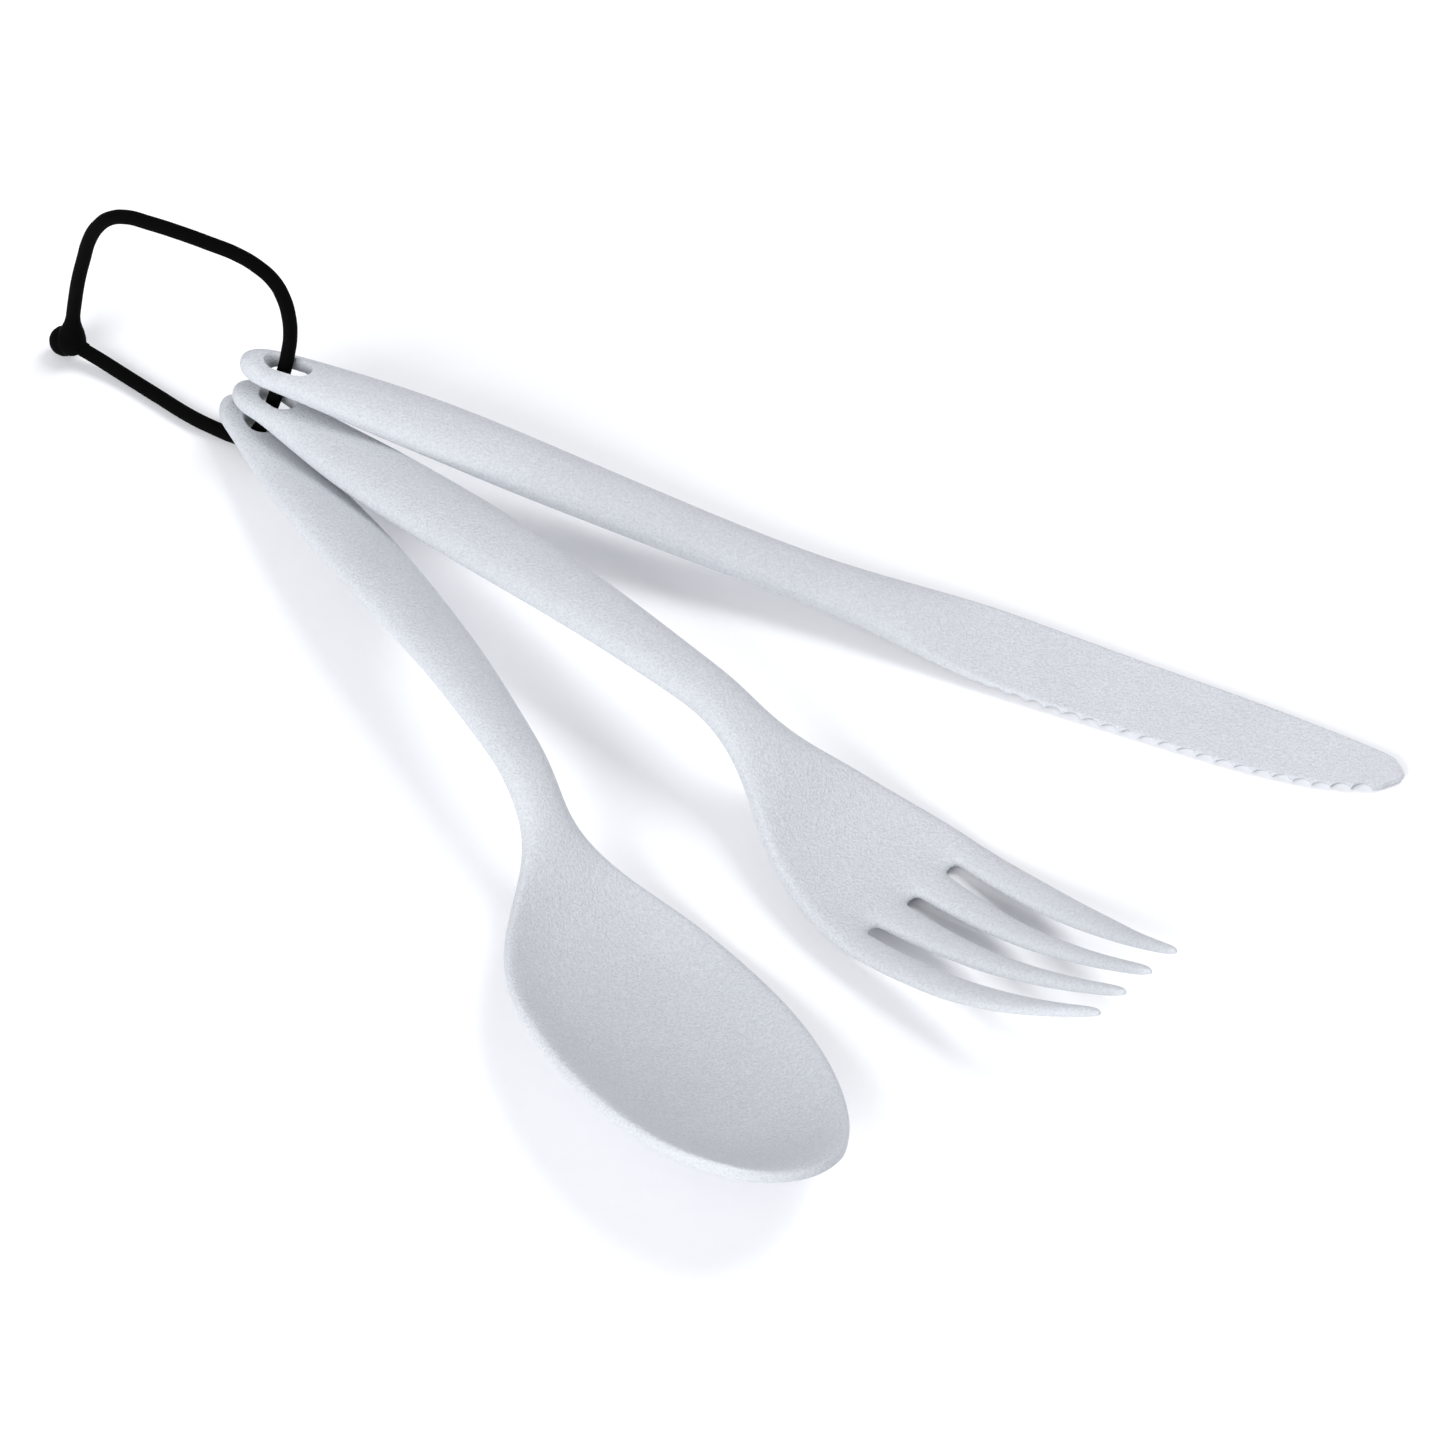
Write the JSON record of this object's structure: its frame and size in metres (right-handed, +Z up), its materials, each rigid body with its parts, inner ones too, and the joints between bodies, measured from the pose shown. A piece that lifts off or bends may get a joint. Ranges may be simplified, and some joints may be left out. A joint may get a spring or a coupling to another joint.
{
  "type": "travel cutlery set",
  "caption": "Moulded plastic knife, fork and spoon fanned out flat, their ring ends stacked and threaded on one upright rubber loop closed by a ball in an eye.",
  "frame": {"origin": "on the resting plane, under the middle of the box round the three utensils, without the loop", "axes": "+X along the long side of the fan, from the ring ends towards the tips of the knife and fork, +Y towards the ring ends and the knife's side of the fan, +Z up from the resting plane"},
  "size_m": [0.2052, 0.1733, 0.0379],
  "materials": {
    "plastic": "fine sand-blasted mould texture",
    "rubber": "smooth matt"
  },
  "bodies": {
    "root": {"knife": "plastic", "fork": "plastic", "spoon": "plastic", "retaining_loop": "rubber"}
  },
  "joints": []
}
